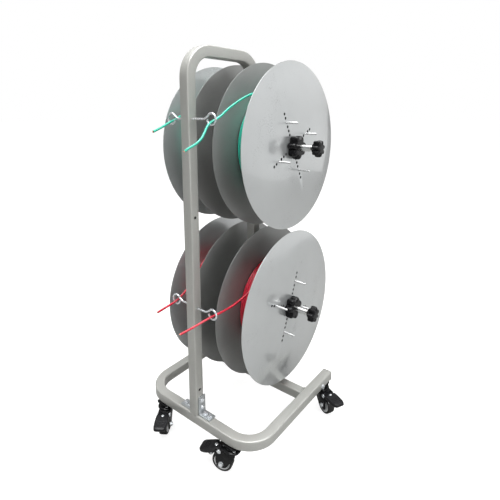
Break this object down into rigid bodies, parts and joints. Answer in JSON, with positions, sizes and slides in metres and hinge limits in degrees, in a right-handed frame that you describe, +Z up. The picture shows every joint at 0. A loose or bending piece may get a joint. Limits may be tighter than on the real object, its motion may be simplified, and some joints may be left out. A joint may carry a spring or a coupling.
{
  "type": "wire reel stand",
  "caption": "Wheeled stand of square tube with fixed axles that carry free-turning flanged reels of insulated wire, each wire led out through an eye on the front leg.",
  "frame": {"origin": "on the floor, under the middle of the stand without its free wire ends", "axes": "+Z up; +X along the axles, to the right seen from the front leg; +Y from the front leg back to the axles"},
  "size_m": [0.5042, 0.5023, 0.9625],
  "materials": {
    "frame_paint": "silver-grey powder coat",
    "flange_sheet": "satin sheet metal",
    "bright_steel": "bright turned steel",
    "zinc_plate": "bright zinc plating",
    "knob_plastic": "black moulded plastic",
    "caster_black": "black lacquer",
    "pedal_plastic": "black moulded plastic",
    "wheel_rubber": "black tread and wheel centre",
    "green_wire": "green insulated wire",
    "red_wire": "red insulated wire"
  },
  "bodies": {
    "root": {"base_frame": "frame_paint", "end_plate_left": "frame_paint", "end_plate_right": "frame_paint", "rear_crossbar": "frame_paint", "arch_frame": "frame_paint", "foot_bracket_front_left": "zinc_plate", "foot_bracket_front_right": "zinc_plate", "foot_bracket_rear_left": "zinc_plate", "foot_bracket_rear_right": "zinc_plate", "eye_bolt_upper_right": "zinc_plate", "eye_bolt_upper_left": "zinc_plate", "eye_bolt_lower_right": "zinc_plate", "eye_bolt_lower_left": "zinc_plate", "axle_upper": "bright_steel", "axle_lower": "bright_steel", "caster_mount_front_left": "caster_black", "caster_mount_front_right": "caster_black", "caster_mount_rear_left": "caster_black", "caster_mount_rear_right": "caster_black", "wire_tail_upper_right": "green_wire", "wire_tail_upper_left": "green_wire", "wire_tail_lower_right": "red_wire", "wire_tail_lower_left": "red_wire"},
    "reel_upper_right": {"reel_core_upper_right": "bright_steel", "inner_flange_upper_right": "flange_sheet", "outer_flange_upper_right": "flange_sheet", "winding_upper_right": "green_wire"},
    "clamp_knob_upper_right": {"clamp_knob_upper_right": "knob_plastic"},
    "end_knob_upper_right": {"end_knob_upper_right": "knob_plastic"},
    "reel_upper_left": {"reel_core_upper_left": "bright_steel", "inner_flange_upper_left": "flange_sheet", "outer_flange_upper_left": "flange_sheet", "winding_upper_left": "green_wire"},
    "clamp_knob_upper_left": {"clamp_knob_upper_left": "knob_plastic"},
    "end_knob_upper_left": {"end_knob_upper_left": "knob_plastic"},
    "reel_lower_right": {"reel_core_lower_right": "bright_steel", "inner_flange_lower_right": "flange_sheet", "outer_flange_lower_right": "flange_sheet", "winding_lower_right": "red_wire"},
    "clamp_knob_lower_right": {"clamp_knob_lower_right": "knob_plastic"},
    "end_knob_lower_right": {"end_knob_lower_right": "knob_plastic"},
    "reel_lower_left": {"reel_core_lower_left": "bright_steel", "inner_flange_lower_left": "flange_sheet", "outer_flange_lower_left": "flange_sheet", "winding_lower_left": "red_wire"},
    "clamp_knob_lower_left": {"clamp_knob_lower_left": "knob_plastic"},
    "end_knob_lower_left": {"end_knob_lower_left": "knob_plastic"},
    "fork_front_left": {"caster_fork_front_left": "caster_black"},
    "wheel_front_left": {"caster_wheel_front_left": "wheel_rubber"},
    "pedal_front_left": {"brake_pedal_front_left": "pedal_plastic"},
    "fork_front_right": {"caster_fork_front_right": "caster_black"},
    "wheel_front_right": {"caster_wheel_front_right": "wheel_rubber"},
    "pedal_front_right": {"brake_pedal_front_right": "pedal_plastic"},
    "fork_rear_left": {"caster_fork_rear_left": "caster_black"},
    "wheel_rear_left": {"caster_wheel_rear_left": "wheel_rubber"},
    "pedal_rear_left": {"brake_pedal_rear_left": "pedal_plastic"},
    "fork_rear_right": {"caster_fork_rear_right": "caster_black"},
    "wheel_rear_right": {"caster_wheel_rear_right": "wheel_rubber"},
    "pedal_rear_right": {"brake_pedal_rear_right": "pedal_plastic"}
  },
  "joints": [
    {"name": "reel_spin_upper_right", "type": "hinge", "parent": "root", "child": "reel_upper_right", "pos_m": [0.08, 0.0512, 0.737], "axis": [1, 0, 0], "continuous": true},
    {"name": "clamp_knob_turn_upper_right", "type": "hinge", "parent": "reel_upper_right", "child": "clamp_knob_upper_right", "pos_m": [0.13, 0.0512, 0.737], "axis": [1, 0, 0], "range_deg": [0, 1080]},
    {"name": "end_knob_turn_upper_right", "type": "hinge", "parent": "root", "child": "end_knob_upper_right", "pos_m": [0.186, 0.0512, 0.737], "axis": [1, 0, 0], "range_deg": [0, 1080]},
    {"name": "reel_spin_upper_left", "type": "hinge", "parent": "root", "child": "reel_upper_left", "pos_m": [-0.08, 0.0512, 0.737], "axis": [1, 0, 0], "continuous": true},
    {"name": "clamp_knob_turn_upper_left", "type": "hinge", "parent": "reel_upper_left", "child": "clamp_knob_upper_left", "pos_m": [-0.13, 0.0512, 0.737], "axis": [-1, 0, 0], "range_deg": [0, 1080]},
    {"name": "end_knob_turn_upper_left", "type": "hinge", "parent": "root", "child": "end_knob_upper_left", "pos_m": [-0.186, 0.0512, 0.737], "axis": [-1, 0, 0], "range_deg": [0, 1080]},
    {"name": "reel_spin_lower_right", "type": "hinge", "parent": "root", "child": "reel_lower_right", "pos_m": [0.08, 0.0512, 0.324], "axis": [1, 0, 0], "continuous": true},
    {"name": "clamp_knob_turn_lower_right", "type": "hinge", "parent": "reel_lower_right", "child": "clamp_knob_lower_right", "pos_m": [0.13, 0.0512, 0.324], "axis": [1, 0, 0], "range_deg": [0, 1080]},
    {"name": "end_knob_turn_lower_right", "type": "hinge", "parent": "root", "child": "end_knob_lower_right", "pos_m": [0.186, 0.0512, 0.324], "axis": [1, 0, 0], "range_deg": [0, 1080]},
    {"name": "reel_spin_lower_left", "type": "hinge", "parent": "root", "child": "reel_lower_left", "pos_m": [-0.08, 0.0512, 0.324], "axis": [1, 0, 0], "continuous": true},
    {"name": "clamp_knob_turn_lower_left", "type": "hinge", "parent": "reel_lower_left", "child": "clamp_knob_lower_left", "pos_m": [-0.13, 0.0512, 0.324], "axis": [-1, 0, 0], "range_deg": [0, 1080]},
    {"name": "end_knob_turn_lower_left", "type": "hinge", "parent": "root", "child": "end_knob_lower_left", "pos_m": [-0.186, 0.0512, 0.324], "axis": [-1, 0, 0], "range_deg": [0, 1080]},
    {"name": "swivel_front_left", "type": "hinge", "parent": "root", "child": "fork_front_left", "pos_m": [-0.1135, -0.1778, 0.066], "axis": [0, 0, 1], "continuous": true},
    {"name": "wheel_spin_front_left", "type": "hinge", "parent": "fork_front_left", "child": "wheel_front_left", "pos_m": [-0.10031, -0.19664, 0.025], "axis": [0.8191, 0.5736, 0], "continuous": true},
    {"name": "brake_front_left", "type": "hinge", "parent": "fork_front_left", "child": "pedal_front_left", "pos_m": [-0.09744, -0.20074, 0.056], "axis": [0.8191, 0.5736, 0], "range_deg": [-6, 17]},
    {"name": "swivel_front_right", "type": "hinge", "parent": "root", "child": "fork_front_right", "pos_m": [0.1135, -0.1778, 0.066], "axis": [0, 0, 1], "continuous": true},
    {"name": "wheel_spin_front_right", "type": "hinge", "parent": "fork_front_right", "child": "wheel_front_right", "pos_m": [0.09163, -0.18491, 0.025], "axis": [0.309, -0.9511, 0], "continuous": true},
    {"name": "brake_front_right", "type": "hinge", "parent": "fork_front_right", "child": "pedal_front_right", "pos_m": [0.08687, -0.18645, 0.056], "axis": [0.309, -0.9511, 0], "range_deg": [-18, 5]},
    {"name": "swivel_rear_left", "type": "hinge", "parent": "root", "child": "fork_rear_left", "pos_m": [-0.173, 0.1412, 0.066], "axis": [0, 0, 1], "continuous": true},
    {"name": "wheel_spin_rear_left", "type": "hinge", "parent": "fork_rear_left", "child": "wheel_rear_left", "pos_m": [-0.19385, 0.15092, 0.025], "axis": [-0.4226, -0.9063, 0], "continuous": true},
    {"name": "brake_rear_left", "type": "hinge", "parent": "fork_rear_left", "child": "pedal_rear_left", "pos_m": [-0.19838, 0.15303, 0.056], "axis": [-0.4226, -0.9063, 0], "range_deg": [0, 23]},
    {"name": "swivel_rear_right", "type": "hinge", "parent": "root", "child": "fork_rear_right", "pos_m": [0.173, 0.1412, 0.066], "axis": [0, 0, 1], "continuous": true},
    {"name": "wheel_spin_rear_right", "type": "hinge", "parent": "fork_rear_right", "child": "wheel_rear_right", "pos_m": [0.19385, 0.13148, 0.025], "axis": [0.4226, 0.9063, 0], "continuous": true},
    {"name": "brake_rear_right", "type": "hinge", "parent": "fork_rear_right", "child": "pedal_rear_right", "pos_m": [0.19838, 0.12937, 0.056], "axis": [0.4226, 0.9063, 0], "range_deg": [0, 23]}
  ]
}
